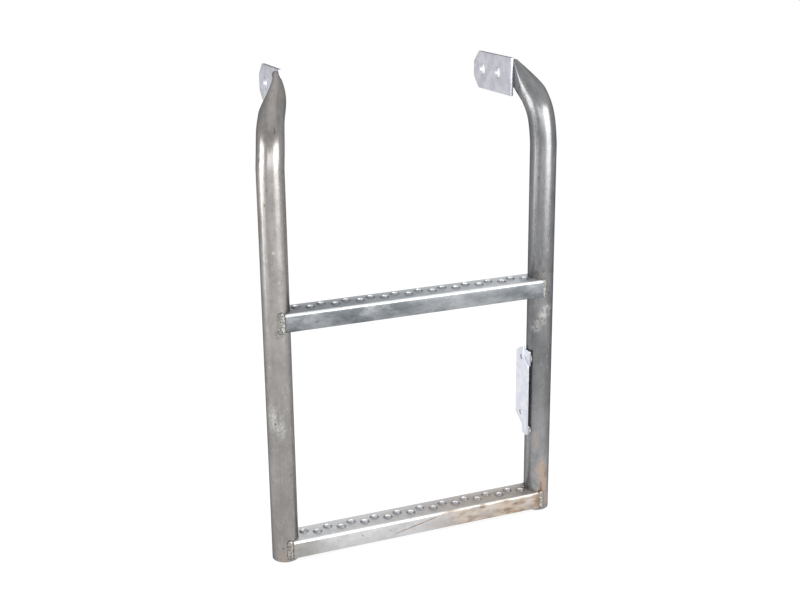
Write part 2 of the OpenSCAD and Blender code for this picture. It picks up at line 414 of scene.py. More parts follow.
class Surface(Nodes):
    """A material's nodes with the patterns that the finishes share."""

    def __init__(self, name: str, wrapped: bool = False) -> None:
        """Makes the material; a wrapped one follows the tube through its own attribute."""
        self.material = bpy.data.materials.new(name)
        self.material.use_nodes = True
        super().__init__(self.material.node_tree)
        if wrapped:
            self.place = self.add("Attribute", out="Vector", attribute_name="wrap")
        else:
            self.place = self.add("TexCoord", out="Object")
        first = self.add("SeparateXYZ", {0: self.place})
        self.x, self.y, self.z = (Sum(self, socket) for socket in first.socket.node.outputs)

    def noise(self, scale: float, detail: float = 3.0, rough: float = 0.55,
              stretch: Sequence[float] = (1.0, 1.0, 1.0), shift: Sequence[float] = (0.0, 0.0, 0.0)) -> Sum:
        """Noise about 0.5.

        Args:
            scale: Cells to the metre.
            detail: Octaves.
            rough: How strong the finer octaves are.
            stretch: Factor on each axis; below 1 draws the pattern out along it.
            shift: Where the pattern starts, so that two pieces differ.

        Returns:
            The noise value.
        """
        vector = self.add("Mapping",
                          {"Vector": self.place, "Scale": tuple(stretch), "Location": tuple(shift)})
        return self.add("TexNoise",
                        {"Vector": vector, "Scale": scale, "Detail": detail, "Roughness": rough})

    def crystals(self, scale: float) -> Sum:
        """Zinc spangle: one random value between 0 and 1 for each cell, with so many cells to the metre."""
        colour = self.add("TexVoronoi", {"Vector": self.place, "Scale": scale}, out="Color")
        return self.add("SeparateColor", {"Color": colour})

    def spot(self, centre: Sequence[float], reach: Sequence[float], soft: float = 0.5) -> Sum:
        """Soft oval spot.

        Args:
            centre: Its middle in millimetres.
            reach: How far it goes along each axis in millimetres.
            soft: Share of the reach over which it fades.

        Returns:
            1 in the spot and 0 outside.
        """
        middle, size = (tuple(MM * v for v in row) for row in (centre, reach))
        moved = self.add("VectorMath", {0: self.place, 1: middle}, operation="SUBTRACT")
        scaled = self.add("VectorMath", {0: moved, 1: size}, operation="DIVIDE")
        far = self.add("VectorMath", {0: scaled}, "Value", operation="LENGTH")
        return far.step(1.0, 1.0 - soft)

    def blend(self, share: object, low: object, high: object) -> Sum:
        """Mixes two colours.

        Args:
            share: 0 gives low and 1 gives high.
            low: A plain colour or a Sum.
            high: The same.

        Returns:
            The mixed colour.
        """
        low, high = (value if isinstance(value, Sum) else (*value, 1.0) for value in (low, high))
        values = {0: share, MIX_LOW: low, MIX_HIGH: high}
        return self.add("Mix", values, MIX_RESULT, data_type="RGBA", clamp_factor=True)

    def layered(self, base: Sum, *layers: tuple[Sum, object]) -> Sum:
        """Lays colours over a base, one after the other.

        Args:
            base: The colour below.
            layers: Pairs of a share between 0 and 1 and a colour.

        Returns:
            The mixed colour.
        """
        for share, colour in layers:
            base = self.blend(share, base, colour)
        return base

    def scaled(self, colour: Sum | Colour, factor: Sum) -> Sum:
        """A colour times a grey factor."""
        return self.add("VectorMath", {0: colour, "Scale": factor}, operation="SCALE")

    def finish(self, colour: Sum, rough: Sum, metal: Sum | float, height: Sum, bump: float = 0.3,
               depth: float = 0.0003, edge: Colour = (0.35, 0.35, 0.36)) -> bpy.types.Material:
        """Closes the material.

        Args:
            colour: Base colour.
            rough: Roughness.
            metal: Metallic share.
            height: Height field for the bump, about 0 to 1.
            bump: Strength of the bump.
            depth: Height of the bump in metres.
            edge: Tint of the metal where it is seen at a glance.

        Returns:
            The finished material.
        """
        normal = self.add("Bump", {"Height": height, "Strength": bump, "Distance": depth})
        shader = self.add("BsdfPrincipled",
                          {"Base Color": colour, "Roughness": rough, "Metallic": metal, "Normal": normal,
                           "Specular Tint": (*edge, 1.0)})
        self.add("OutputMaterial", {"Surface": shader})
        return self.material


@dataclass(frozen=True)
class Mark:
    """Scuff or stain on a tube, by its angle from the front towards +X and its height above the foot."""

    angle: float
    height: float
    across: float
    along: float
    colour: Colour
    share: float = 0.8

    def on(self, s: Surface, broken: Sum) -> Sum:
        """Share of the mark at each point: an oval on the tube that a noise breaks up."""
        r, a = LAYOUT.tube_d / 2, math.radians(self.angle)
        place = (r * math.sin(a), -r * math.cos(a), self.height)
        oval = s.spot(place, (self.across, self.across, self.along), 1.0)
        return (oval * MARK_FULL * broken).held() * self.share


PALE = shade(196, 196, 193)
DARK = shade(62, 58, 54)
HEAT = shade(98, 92, 86)
WARM = (0.42, 0.39, 0.34)
RUST = shade(158, 136, 118)
DEEP_RUST = shade(112, 88, 70)


@dataclass(frozen=True)
class TubeZinc:
    """Zinc on a drawn tube: soft streaks along it, faint crystals, dark specks, scuffs and heat marks, with
    painted shade on the left bend and a painted highlight on the right one.

    Zones are in metres along the tube from its foot.
    """

    side: Side
    bend_zone: tuple[float, float] = (0.500, 0.540)
    foot_zone: tuple[float, float] = (0.17, 0.07)

    def _marks(self) -> list[Mark]:
        """The marks of this tube; each lies over those before it."""
        if self.side is Side.LEFT:
            return [Mark(2, 539, 1.6, 6, DARK), Mark(-65, 506, 3, 10, HEAT), Mark(-48, 514, 1.5, 4, DARK),
                    Mark(-34, 479, 1.4, 5, DARK), Mark(-17, 404, 3, 3, PALE),
                    Mark(-20, 522, 9, 12, WARM, 0.3), Mark(-34, 190, 14, 20, PALE, 0.55),
                    Mark(-52, 200, 10, 18, PALE, 0.5), Mark(-14, 178, 9, 16, PALE, 0.45),
                    Mark(-26, 196, 3, 13, HEAT, 0.5), Mark(-38, 188, 1.8, 2.2, DARK),
                    Mark(28, 318, 6, 20, HEAT, 0.8), Mark(-8, 303, 8, 9, HEAT, 0.5),
                    Mark(24, 20, 7, 20, HEAT, 0.75), Mark(-25, 9, 14, 13, RUST, 0.4),
                    Mark(12, 3, 8, 5, DEEP_RUST, 0.55)]
        return [Mark(4, 289, 12, 7, PALE, 0.5), Mark(-12, 280, 12, 8, PALE, 0.55),
                Mark(-28, 270, 12, 8, PALE, 0.5), Mark(-44, 261, 10, 9, PALE, 0.45),
                Mark(-26, 270, 3, 4, DEEP_RUST, 0.8), Mark(-34, 350, 4, 7, HEAT, 0.8),
                Mark(-14, 340, 4, 6, HEAT, 0.7), Mark(-48, 336, 6, 9, HEAT, 0.8),
                Mark(-42, 318, 9, 22, HEAT, 0.7), Mark(-40, 100, 9, 20, RUST, 0.3),
                Mark(-4, 58, 12, 26, RUST, 0.9), Mark(8, 42, 11, 20, RUST, 1.0),
                Mark(0, 26, 13, 18, RUST, 1.0), Mark(29, 14, 10, 15, RUST, 0.7),
                Mark(-5, 34, 3, 14, DEEP_RUST, 0.9), Mark(-7, 7, 12, 7, DEEP_RUST, 0.75),
                Mark(18, 52, 3, 9, DEEP_RUST, 0.7)]

    def build(self, name: str) -> bpy.types.Material:
        """Makes the tube's material."""
        s = Surface(name, wrapped=True)
        left = self.side is Side.LEFT
        shift = (0.0, 0.0, 0.0) if left else (0.4, 0.3, 0.7)
        low, high = (shade(106, 107, 109), shade(126, 126, 127))
        if left:
            low, high = (shade(136, 133, 131), shade(150, 147, 145))
        streak = s.noise(420.0, 3.0, 0.6, (1.0, 1.0, 0.035), shift)
        cloud = s.noise(40.0, 5.0, 0.62, (1.0, 1.0, 0.4), shift)
        grain = s.noise(900.0, 3.0, 0.6)
        mottle = s.noise(230.0, 4.0, 0.6, (1.0, 1.0, 0.6), shift)
        uneven = 0.68 + 0.26 * streak + 0.16 * cloud + 0.12 * s.crystals(190.0) + 0.14 * mottle
        base = s.scaled(s.blend(cloud.step(0.3, 0.7), low, high), uneven)
        # Painted shade darkens the left bend and a painted highlight lightens the right one, standing in for
        # the light that the bends reflect.
        bend_painted_light = 0.12 if left else -0.16
        base = s.scaled(base, 1.0 - bend_painted_light * s.z.step(*self.bend_zone))
        if not left:
            base = s.scaled(base, 1.0 + 0.5 * s.z.step(*self.foot_zone))
        speck = s.noise(250.0, 2.0, 0.5, (1.0, 1.0, 0.6), (0.31, 0.17, 0.05)).step(0.705, 0.755)
        glint = s.noise(330.0, 2.0, 0.5, (1.0, 1.0, 0.25), (0.1, 0.7, 0.2)).step(0.70, 0.78)
        base = s.layered(base, (speck * 0.6, DARK), (glint * 0.4, PALE))
        broken = s.noise(300.0, 6.0, 0.75, (1.0, 1.0, 0.7), (0.2, 0.1, 0.6)).step(0.38, 0.64)
        rust = None
        for mark in self._marks():
            share = mark.on(s, broken)
            base = s.blend(share, base, mark.colour)
            if mark.colour in (RUST, DEEP_RUST):
                rust = share if rust is None else rust.larger(share)
        rough = 0.19 + 0.11 * cloud + 0.06 * streak + 0.30 * rust
        height = streak * 0.45 + grain * 0.2 + cloud * 0.5 + mottle * 0.3
        return s.finish(base, rough, (0.97 - 0.7 * rust).held(), height, 0.22, 0.0004)


@dataclass(frozen=True)
class TabZinc:
    """Paler, even zinc on the tab plates, with painted shade on the right plate's front edge and darker top
    edges.
    """

    low: Colour = shade(190, 190, 198)
    high: Colour = shade(208, 208, 215)

    def build(self, name: str) -> bpy.types.Material:
        """Makes the plates' material."""
        s = Surface(name)
        cloud = s.noise(60.0, 5.0, 0.6)
        wipe = s.noise(260.0, 3.0, 0.6, (1.0, 0.12, 1.0))
        grain = s.noise(1000.0, 3.0, 0.6)
        uneven = 0.88 + 0.14 * wipe + 0.10 * s.crystals(210.0)
        base = s.scaled(s.blend(cloud.step(0.3, 0.7), self.low, self.high), uneven)
        speck = s.noise(280.0, 2.0, 0.5, shift=(0.3, 0.6, 0.1)).step(0.69, 0.75)
        front = LAYOUT.stile_y + LAYOUT.right_tab_front
        # Painted shade on the right plate's front edge.
        front_edge_painted_shade = s.y.step_mm(front + 0.8, front + 0.2)
        top_edge = s.z.step_mm(LAYOUT.tab_top - 0.6, LAYOUT.tab_top - 0.2)
        scuff = s.noise(120.0, 6.0, 0.75, (1.0, 1.0, 1.6)).step(0.62, 0.72)
        base = s.layered(
            base, (speck * 0.45, shade(120, 112, 106)), (front_edge_painted_shade * 0.8, shade(150, 150, 156)),
            (top_edge * 0.75, shade(112, 112, 116)), (scuff * 0.4, shade(232, 233, 236)))
        height = wipe * 0.4 + grain * 0.3 + cloud * 0.4
        return s.finish(base, 0.34 + 0.16 * cloud, 0.9, height, 0.2, 0.0003, shade(176, 176, 180))


# Stains on the lower tread's front: place across, height above the foot, reach and strength
STAINS = ((-56, 24.5, (9, 8, 5), 1.0), (-20, 12, (16, 8, 5), 0.8),
          (27, 16, (10, 10, 8), 0.9), (-100, 26, (26, 8, 3), 0.7))
# The scratch beside them: its climb to the right, and its height above the foot where x is 0
SCRATCH_CLIMB, SCRATCH_UP = 0.204, 47.85


@dataclass(frozen=True)
class TreadZinc:
    """Zinc on a pressed tread, with a painted highlight on the fold and painted light on the holes' rims and
    bores, and with stains.
    """

    level: Level

    def build(self, name: str) -> bpy.types.Material:
        """Makes the tread's material."""
        s = Surface(name)
        z = LAYOUT.tread_z(self.level)
        shift = (0.3, 0.1, 0.6) if self.level is Level.UPPER else (0.0, 0.0, 0.0)
        cloud = s.noise(45.0, 6.0, 0.62, (0.55, 1.0, 1.3), shift)
        wipe = s.noise(300.0, 3.0, 0.6, (0.07, 1.0, 1.0), shift)
        grain = s.noise(1100.0, 3.0, 0.6)
        top, front = self._faces(s, cloud)
        flat = s.z.step_mm(z - 2.8, z - 0.9)
        uneven = 0.76 + 0.22 * cloud + 0.14 * wipe + 0.12 * s.crystals(170.0)
        base = s.scaled(s.blend(flat, front, top), uneven)
        rear = s.y.step_mm(LAYOUT.stile_y + 4, LAYOUT.stile_y + 12) * flat
        fold = s.z.step_mm(z - 3.6, z - 2.2) * s.z.step_mm(z - 0.2, z - 1.1)
        wrap = s.add("Attribute", out="Vector", attribute_name="wrap")
        radius = s.add("SeparateXYZ", {0: wrap})
        rust, rust_colour = self._stains(s, flat)
        speck = s.noise(230.0, 2.0, 0.5, shift=(0.5, 0.2, 0.0)).step(0.69, 0.75)
        # Over the base: a lighter band at the rear of the top, a painted highlight along the front fold, a
        # darker ring round each collar's foot, painted highlights on the collars' crests and painted light
        # on their inner lips and bores, then rust and dark specks.
        base = s.layered(
            base,
            (rear * 0.35, shade(226, 228, 230)),
            (fold * (0.45 + 0.7 * wipe), shade(240, 241, 242)),
            (radius.step_mm(6.8, 5.8) * (0.45 + 0.5 * cloud), shade(96, 99, 106)),
            (radius.step_mm(4.4, 3.9) * 0.9, shade(206, 208, 212)),
            (radius.step_mm(3.4, 3.1) * 0.9, shade(244, 245, 248)),
            (rust, rust_colour),
            (speck * 0.55, DARK))
        rough = 0.33 + 0.16 * cloud + 0.08 * wipe + 0.25 * rust
        height = wipe * 0.35 + grain * 0.25 + cloud * 0.7
        return s.finish(base, rough, (0.95 - 0.6 * rust).held(), height, 0.25, 0.0005)

    def _faces(self, s: Surface, cloud: Sum) -> tuple[Sum, Sum]:
        """Colours of the top and of the flanges, which change along the tread. On the upper tread the top's
        brightening to the right is painted light, its dark front is painted shade and the paler stretch on
        that front a painted sheen. The lower front is paler than the upper one, partly its own zinc and
        partly a painted reflection, and darker at its left end; the lower top darkens to the right.
        """
        across = s.x.step_mm(LAYOUT.left_x, LAYOUT.right_x)
        if self.level is Level.UPPER:
            top = s.blend(across, shade(150, 154, 158), shade(212, 216, 219))
            front = s.blend(cloud.step(0.35, 0.65), shade(92, 96, 100), shade(134, 137, 140))
            sheen = s.x.step(0.02, -0.06) * s.x.step(-0.2, -0.1) * 0.25
            return top, s.blend(sheen, front, shade(170, 172, 174))
        top = s.blend(across, shade(206, 207, 208), shade(176, 170, 166))
        return top, s.blend(s.x.step(-0.315, -0.255), shade(154, 153, 150), shade(190, 190, 191))

    def _stains(self, s: Surface, flat: Sum) -> tuple[Sum, Sum]:
        """Share and colour of the rust: faint above, broad on the lower front's right, with a scratch."""
        flow = s.noise(58.0, 6.0, 0.7, (0.35, 1.0, 1.0), (0.2, 0.0, 0.4))
        fine = s.noise(120.0, 4.0, 0.55, (0.4, 1.0, 1.0))
        colour = s.blend(fine.step(0.36, 0.64), shade(178, 162, 144), shade(130, 108, 88))
        if self.level is Level.UPPER:
            return (flow.step(0.60, 0.80) * 0.22).held(), colour
        right = s.x.step(-0.165, -0.06)
        broad = right * (0.42 + flow.step(0.34, 0.62) * 0.6) * (1.0 - 0.72 * flat)
        share = broad + flow.step(0.56, 0.76) * 0.2
        front_y = LAYOUT.stile_y - 19.5
        for x, up, reach, strength in STAINS:
            spot = s.spot((x, front_y, LAYOUT.foot_z + up), reach, 0.7)
            share = share.larger(spot * (0.4 + fine) * strength)
        line = s.z - (s.x * SCRATCH_CLIMB + (LAYOUT.foot_z + SCRATCH_UP) * MM)
        thin = line.step_mm(1.1, 0.4) * line.step_mm(-1.1, -0.4)
        scratch = thin * s.x.step(-0.186, -0.178) * s.x.step(-0.102, -0.112)
        return share.larger(scratch * (0.35 + 0.8 * fine)).held(), colour


@dataclass(frozen=True)
class BracketZinc:
    """Bright bluish zinc on the small bracket, with painted shade on its front edge and its lugs."""

    def build(self, name: str) -> bpy.types.Material:
        """Makes the bracket's material."""
        s = Surface(name)
        cloud = s.noise(75.0, 5.0, 0.6)
        grain = s.noise(800.0, 3.0, 0.6)
        base = s.blend(cloud.step(0.3, 0.7), shade(222, 225, 236), shade(240, 241, 246))
        # Painted shade: the front edge and the lugs between the plate and the tube are darkened.
        edge = s.y.step_mm(LAYOUT.stile_y - 9.2, LAYOUT.stile_y - 9.9)
        lug = s.x.step_mm(LAYOUT.lug_x - 2.45, LAYOUT.lug_x - 2.2)
        speck = s.noise(260.0, 3.0, 0.6).step(0.66, 0.74)
        base = s.layered(s.scaled(base, 0.86 + 0.2 * grain), (edge * 0.45, shade(120, 120, 122)),
                         (lug * 0.8, shade(132, 133, 136)), (speck * 0.4, shade(140, 128, 116)))
        return s.finish(base, 0.34 + 0.2 * cloud, 0.88, cloud + grain * 0.4, 0.2, 0.0003)


@dataclass(frozen=True)
class WeldMetal:
    """Rough weld metal: dark and light patches, small painted highlights and a little brown low down."""

    def build(self, name: str) -> bpy.types.Material:
        """Makes the weld's material."""
        s = Surface(name)
        lump = s.noise(420.0, 5.0, 0.65)
        fine = s.noise(1500.0, 4.0, 0.6)
        brown = s.noise(130.0, 4.0, 0.6, shift=(0.3, 0.3, 0.1)).step(0.50, 0.66) * s.z.step(-0.45, -0.52)
        base = s.blend(lump.step(0.38, 0.66), shade(108, 105, 101), shade(176, 175, 172))
        # The fine pale flecks are painted highlights.
        base = s.layered(base, (fine.step(0.56, 0.72) * 0.7, shade(228, 228, 226)),
                         (brown * 0.55, shade(126, 100, 80)))
        return s.finish(base, 0.48 - 0.12 * lump, 0.88, lump + fine * 0.5, 0.6, 0.0006)


@dataclass(frozen=True)
class Lamp:
    """Softbox: where it hangs, what it looks at, its width and height in metres and its watts."""

    name: str
    at: tuple[float, float, float]
    look: tuple[float, float, float]
    size: tuple[float, float]
    power: float

    def build(self) -> None:
        """Makes the lamp."""
        data = bpy.data.lights.new(self.name, "AREA")
        data.shape, (data.size, data.size_y), data.energy = "RECTANGLE", self.size, self.power
        lamp = bpy.data.objects.new(self.name, data)
        away = Vector(self.at) - Vector(self.look)
        lamp.matrix_world = Matrix.Translation(self.at) @ away.to_track_quat("Z", "Y").to_matrix().to_4x4()
        bpy.context.scene.collection.objects.link(lamp)


@dataclass(frozen=True)
class Studio:
    """Camera, lamps, white world and floor."""

    camera_at: tuple[float, float, float] = (-0.75725, -1.5022, 0.2103)
    yaw: float = 0.3961
    pitch: float = 0.2995
    roll: float = -0.0112
    focal_px: float = 1290.70
    ambient: float = 0.7
    floor_colour: float = 0.25
    floor_glow: float = 0.5
    floor_half: float = 30.0
    floor_gap: float = 0.0005
    lamps: tuple[Lamp, ...] = (
        Lamp("strip_left", (-1.747, -0.14, 0.0), (-0.326, -0.084, 0.0), (0.90, 0.76), 11.0),
        Lamp("low_left", (-1.70, 0.22, -0.36), (0.034, -0.084, -0.09), (0.36, 0.44), 1.4),
        Lamp("front", (-0.95, -2.60, 0.0), (-0.15, -0.084, 0.0), (2.6, 0.74), 17.0),
        Lamp("strip_right", (0.47, -1.36, 0.01), (-0.15, -0.084, 0.01), (1.05, 0.74), 17.0),
        Lamp("overhead", (-0.15, -0.3, 2.2), (-0.15, -0.084, 0.0), (2.4, 2.4), 6.0))

    def build(self) -> None:
        """Makes everything that is not the object."""
        self._camera()
        self._world()
        for lamp in self.lamps:
            lamp.build()
        self._floor()

    def _camera(self) -> None:
        """Camera from its measured yaw, pitch and roll."""
        yaw, pitch, roll = self.yaw, self.pitch, self.roll
        level = math.cos(pitch)
        forward = Vector((math.sin(yaw) * level, math.cos(yaw) * level, -math.sin(pitch)))
        right = Vector((math.cos(yaw), -math.sin(yaw), 0.0))
        up = right.cross(forward)
        c, s = math.cos(roll), math.sin(roll)
        right, up = right * c + up * s, up * c - right * s
        data = bpy.data.cameras.new("camera")
        data.sensor_width = SENSOR_MM
        data.lens = self.focal_px / PICTURE_W * SENSOR_MM
        camera = bpy.data.objects.new("camera", data)
        turn = Matrix((right, up, -forward)).transposed().to_4x4()
        camera.matrix_world = Matrix.Translation(self.camera_at) @ turn
        bpy.context.scene.collection.objects.link(camera)
        bpy.context.scene.camera = camera

    def _world(self) -> None:
        """World that is white to the camera and in reflections, and a little dimmer as light."""
        world = bpy.data.worlds.new("studio")
        world.use_nodes = True
        bpy.context.scene.world = world
        n = Nodes(world.node_tree)
        strength = self._seen(n) * (1.0 - self.ambient) + self.ambient
        back = n.add("Background", {"Color": (1.0, 1.0, 1.0, 1.0), "Strength": strength})
        n.add("OutputWorld", {"Surface": back})

    @staticmethod
    def _seen(n: Nodes) -> Sum:
        """1 for camera, glossy and transmission rays, 0 for the others."""
        seen = n.add("LightPath")
        outputs = seen.socket.node.outputs
        return (seen + Sum(n, outputs["Is Glossy Ray"]) + Sum(n, outputs["Is Transmission Ray"])).held()

    def _floor(self) -> None:
        """White floor that keeps the step's soft shadow."""
        mesh = bpy.data.meshes.new("floor")
        z, h = LAYOUT.foot_z * MM - self.floor_gap, self.floor_half
        mesh.from_pydata([(-h, -h, z), (h, -h, z), (h, h, z), (-h, h, z)], [], [(0, 1, 2, 3)])
        floor = bpy.data.objects.new("floor", mesh)
        bpy.context.scene.collection.objects.link(floor)
        material = bpy.data.materials.new("floor_white")
        material.use_nodes = True
        n = Nodes(material.node_tree)
        tone = self.floor_colour
        diffuse = n.add("BsdfDiffuse", {"Color": (tone, tone, tone, 1.0)})
        rest = 1.0 - tone * self.ambient - self.floor_glow
        glow = n.add("Emission", {"Color": (1.0, 1.0, 1.0, 1.0),
                                                  "Strength": self._seen(n) * rest + self.floor_glow})
        both = n.add("AddShader", {0: diffuse, 1: glow})
        n.add("OutputMaterial", {"Surface": both})
        mesh.materials.append(material)


# The pieces


@dataclass
class Stile:
    """Round tube that bends back at the top and is pressed flat onto its tab plate.

    Lengths are in millimetres from the stile's foot on its axis.
    """

    side: Side
    bend_start: float = 501.0
    bend_length: float = 118.0
    rise_pull: float = 56.0
    run_pull: float = 47.0
    slope: float = 60.0
    end_z: float = 587.75
    end_in: float = 13.5
    end_h: float = 36.0
    press_start: float = 0.68
    press_power: float = 1.8
    turn_power: float = 1.2
    inward_power: float = 1.1
    thinnest: float = 0.3
    overlap: float = 6.0
    left_bulge: float = 6.5
    hollow_end: float = 23 / 24
    foot_round: float = 1.0
    foot_rings: int = 5
    around: int = 96
    bend_rings: int = 110
    straight_rings: int = 40

    def _pressed(self, f: np.ndarray) -> np.ndarray:
        """Share of the pressing that is done at the share f of the bend."""
        return np.clip((f - self.press_start) / (1 - self.press_start), 0.0, None) ** self.press_power

    def _rings(self, height: np.ndarray, f: np.ndarray, wall: float,
               inset: np.ndarray | float = 0.0) -> tuple[np.ndarray, np.ndarray]:
        """Rings of the tube.

        The middle of a ring runs straight up, then on a curve of the third order that is pulled
        up from its start and along the slope into its end. A ring is a circle that is drawn out
        to a slot, and it turns from level to upright over the bend. The left bend also bulges
        inwards by a share of f^5 (1 - f).

        Args:
            height: Height of each ring on the straight stretch; on the bend, where it starts.
            f: Share of the bend at each ring, 0 on the straight stretch.
            wall: What is taken off the outside, for the hollow.
            inset: What else is taken off, ring by ring, for rounded ends.

        Returns:
            The rings' points, and their places on the straight tube.
        """
        f = f[:, None]
        d, end_t = LAYOUT.tube_d, 2 * LAYOUT.tube_wall
        pressed = self._pressed(f)
        off = 2 * wall + 2 * np.broadcast_to(inset, f[:, 0].shape)[:, None]
        thick = d + (end_t - d) * pressed
        width, tall = np.maximum(thick - off, self.thinnest), d + (self.end_h - d) * pressed - off
        a = (np.arange(self.around) + 0.5)[None, :] * 2 * np.pi / self.around
        p = width / 2 * np.cos(a)
        q = width / 2 * np.sin(a) + np.sign(np.sin(a)) * (tall - width) / 2
        back, s = LAYOUT.tab_front(self.side), math.radians(self.slope)
        curve = [(0.0, self.bend_start), (0.0, self.bend_start + self.rise_pull),
                 (back - self.run_pull * math.cos(s), self.end_z - self.run_pull * math.sin(s)),
                 (back, self.end_z)]
        weights = ((1 - f) ** 3, 3 * f * (1 - f) ** 2, 3 * f * f * (1 - f), f ** 3)
        y = sum(w * c[0] for w, c in zip(weights, curve))
        z = np.where(f > 0, sum(w * c[1] for w, c in zip(weights, curve)), height[:, None])
        turn = np.pi / 2 * f ** self.turn_power
        bulge = self.left_bulge * BULGE_SCALE * f ** 5 * (1 - f) if self.side is Side.LEFT else 0.0
        inward = -self.side.value * ((d - thick) / 2 + self.end_in * f ** self.inward_power + bulge)
        x = np.broadcast_to(p + inward, q.shape)
        points = np.stack([x, y - np.cos(turn) * q, z + np.sin(turn) * q], axis=-1)
        run = height[:, None] + f * self.bend_length
        wrap = np.stack([d / 2 * np.cos(a) + 0 * q, -d / 2 * np.sin(a) + 0 * q, run + 0 * q], axis=-1)
        return points, wrap

    def build(self, material: bpy.types.Material) -> None:
        """Makes the tube with its wall, its open foot and its pressed end."""
        k = np.linspace(0.0, np.pi / 2, self.foot_rings)
        foot_z, foot_in = self.foot_round * (1 - np.cos(k)), self.foot_round * (1 - np.sin(k))
        straight = np.linspace(self.foot_round, self.bend_start, self.straight_rings)[1:-1]
        f = np.linspace(0.0, 1.0, self.bend_rings)
        height = np.concatenate([foot_z, straight, np.full(len(f), self.bend_start)])
        share = np.concatenate([np.zeros(len(foot_z) + len(straight)), f])
        inset = np.concatenate([foot_in, np.zeros(len(straight) + len(f))])
        outer, outer_wrap = self._rings(height, share, 0.0, inset)
        # The end's lip: how far each ring lies before the end, and how much it is drawn in
        steps = ((1.6, 0.0), (0.5, 0.5), (0.0, 1.5))
        lip = np.stack([self._rings(height[-1:], share[-1:], 0.0, cut)[0][0]
                        + [0.0, self.overlap - short, 0.0] for short, cut in steps])
        hollow = share <= self.hollow_end
        inner_at = [np.append(0.0, row[hollow][self.foot_rings - 1:]) for row in (height, share)]
        inner, inner_wrap = self._rings(*inner_at, LAYOUT.tube_wall)
        place = np.array([LAYOUT.stile_x(self.side), LAYOUT.stile_y, LAYOUT.foot_z])
        inner = inner + place
        whole = np.concatenate([outer, lip]) + place
        whole_wrap = np.concatenate([outer_wrap, outer_wrap[-1:].repeat(len(lip), axis=0)])
        shell = Shell()
        shell.grid(whole, around=True, wrap=whole_wrap)
        shell.lid(whole[-1], whole_wrap[-1])
        shell.grid(inner, around=True, wrap=inner_wrap)
        shell.lid(inner[-1], inner_wrap[-1])
        foot_wrap = np.stack([outer_wrap[0], inner_wrap[0]])
        shell.grid(np.stack([whole[0], inner[0]]), around=True, smooth=False, wrap=foot_wrap)
        name = self.side.word
        shell.object(f"{name}_stile_tube", material, [f"{name}_stile"])


@dataclass
class Plate:
    """Flat plate with softened edges and round holes, standing in a plane across the step.

    Its outline is given as distance back and height; it is spread along X from low to high.
    """

    outline: np.ndarray
    holes: Sequence[tuple[float, float, float]]
    low: float
    high: float
    edge: float = 0.5
    corner: float = 0.8
    steps: int = 4
    turns: int = 48

    def add_to(self, shell: Shell) -> None:
        """Adds the two flat faces, and for each loop a rim that turns a quarter circle at each face."""
        outline = rounded(self.outline, self.corner)
        k = np.linspace(0.0, np.pi / 2, self.steps)
        inset, depth = self.edge * (1 - np.sin(k)), self.edge * (1 - np.cos(k))
        insets = np.concatenate([inset, inset[::-1]])
        places = np.concatenate([self.high - depth, self.low + depth[::-1]])
        rim = np.stack([stood(drawn_in(outline, i), x) for x, i in zip(places, insets)])
        shell.grid(rim, around=True)
        for *middle, radius in self.holes:
            ring = [stood(circle(self.turns, radius + i, middle), x) for x, i in zip(places, insets)]
            shell.grid(np.stack(ring), around=True)
        loops = [circle(self.turns, radius + self.edge, middle) for *middle, radius in self.holes]
        flat, triangles = filled(drawn_in(outline, self.edge), loops)
        for x in (self.low, self.high):
            shell.patch(stood(flat, x), triangles, smooth=False)


@dataclass
class TabPlate:
    """Drilled plate that the stile's pressed end lies on, with the rear corners cut off."""

    side: Side
    rear: float = 46.5
    bottom: float = -25.0
    cut: float = 14.0
    bolt_r: float = 7.0
    bolt_half: float = 21.5

    def build(self, material: bpy.types.Material) -> None:
        """Makes the plate with its two bolt holes."""
        front, top, sheet = LAYOUT.stile_y + LAYOUT.tab_front(self.side), LAYOUT.tab_top, LAYOUT.tab_sheet
        outline = np.array([[front, self.bottom], [self.rear - self.cut, self.bottom],
                            [self.rear, self.bottom + self.cut], [self.rear, top - self.cut],
                            [self.rear - self.cut, top], [front, top]])
        face = LAYOUT.left_x + LAYOUT.right_x
        low, high = (0.0, sheet) if self.side is Side.RIGHT else (face - sheet, face)
        shell = Shell()
        Plate(outline, [(s * self.bolt_half, 0.0, self.bolt_r) for s in (-1, 1)], low, high).add_to(shell)
        shell.object(f"{self.side.word}_tab_plate", material)


